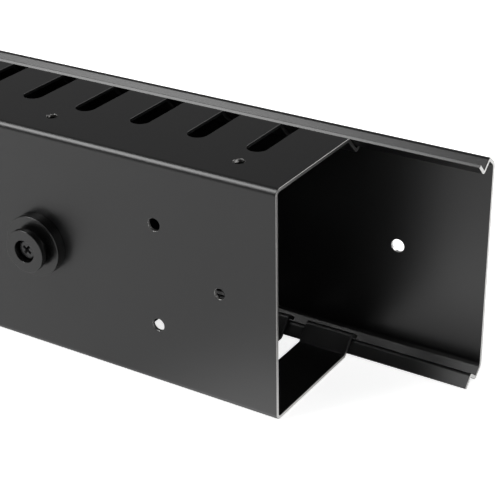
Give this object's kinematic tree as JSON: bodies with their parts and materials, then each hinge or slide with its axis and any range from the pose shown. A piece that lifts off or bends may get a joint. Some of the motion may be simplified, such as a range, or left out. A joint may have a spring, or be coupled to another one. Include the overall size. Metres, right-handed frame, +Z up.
{
  "type": "vertical cable manager",
  "caption": "Slotted U-shaped cable duct with finger walls, a sliding clip-over cover and keyhole mounting buttons, hung upright on a rack frame.",
  "frame": {"origin": "middle of the back wall's outer face, halfway between its two single end holes", "axes": "+X along the duct towards the end where the cover stands out, +Y from the back wall towards the cover, +Z up across the duct's width as it lies on one side wall"},
  "size_m": [0.9469, 0.0636, 0.0762],
  "materials": {
    "black_coated_steel": "fine-textured satin black powder coat",
    "black_coated_button": "smooth satin black coat on turned steel",
    "black_screw_steel": "blackened steel screw, slightly glossy",
    "zinc_plated_steel": "bright zinc plate"
  },
  "bodies": {
    "channel": {"channel": "black_coated_steel", "button_right": "black_coated_button", "screw_right": "black_screw_steel", "lock_washer_right": "zinc_plated_steel", "nut_right": "zinc_plated_steel", "button_left": "black_coated_button", "screw_left": "black_screw_steel", "lock_washer_left": "zinc_plated_steel", "nut_left": "zinc_plated_steel"},
    "cover": {"cover": "black_coated_steel"}
  },
  "joints": [
    {"name": "cover_slide", "type": "slide", "parent": "channel", "child": "cover", "axis": [1, 0, 0], "range_m": [-0.8469, 0.7641]}
  ]
}
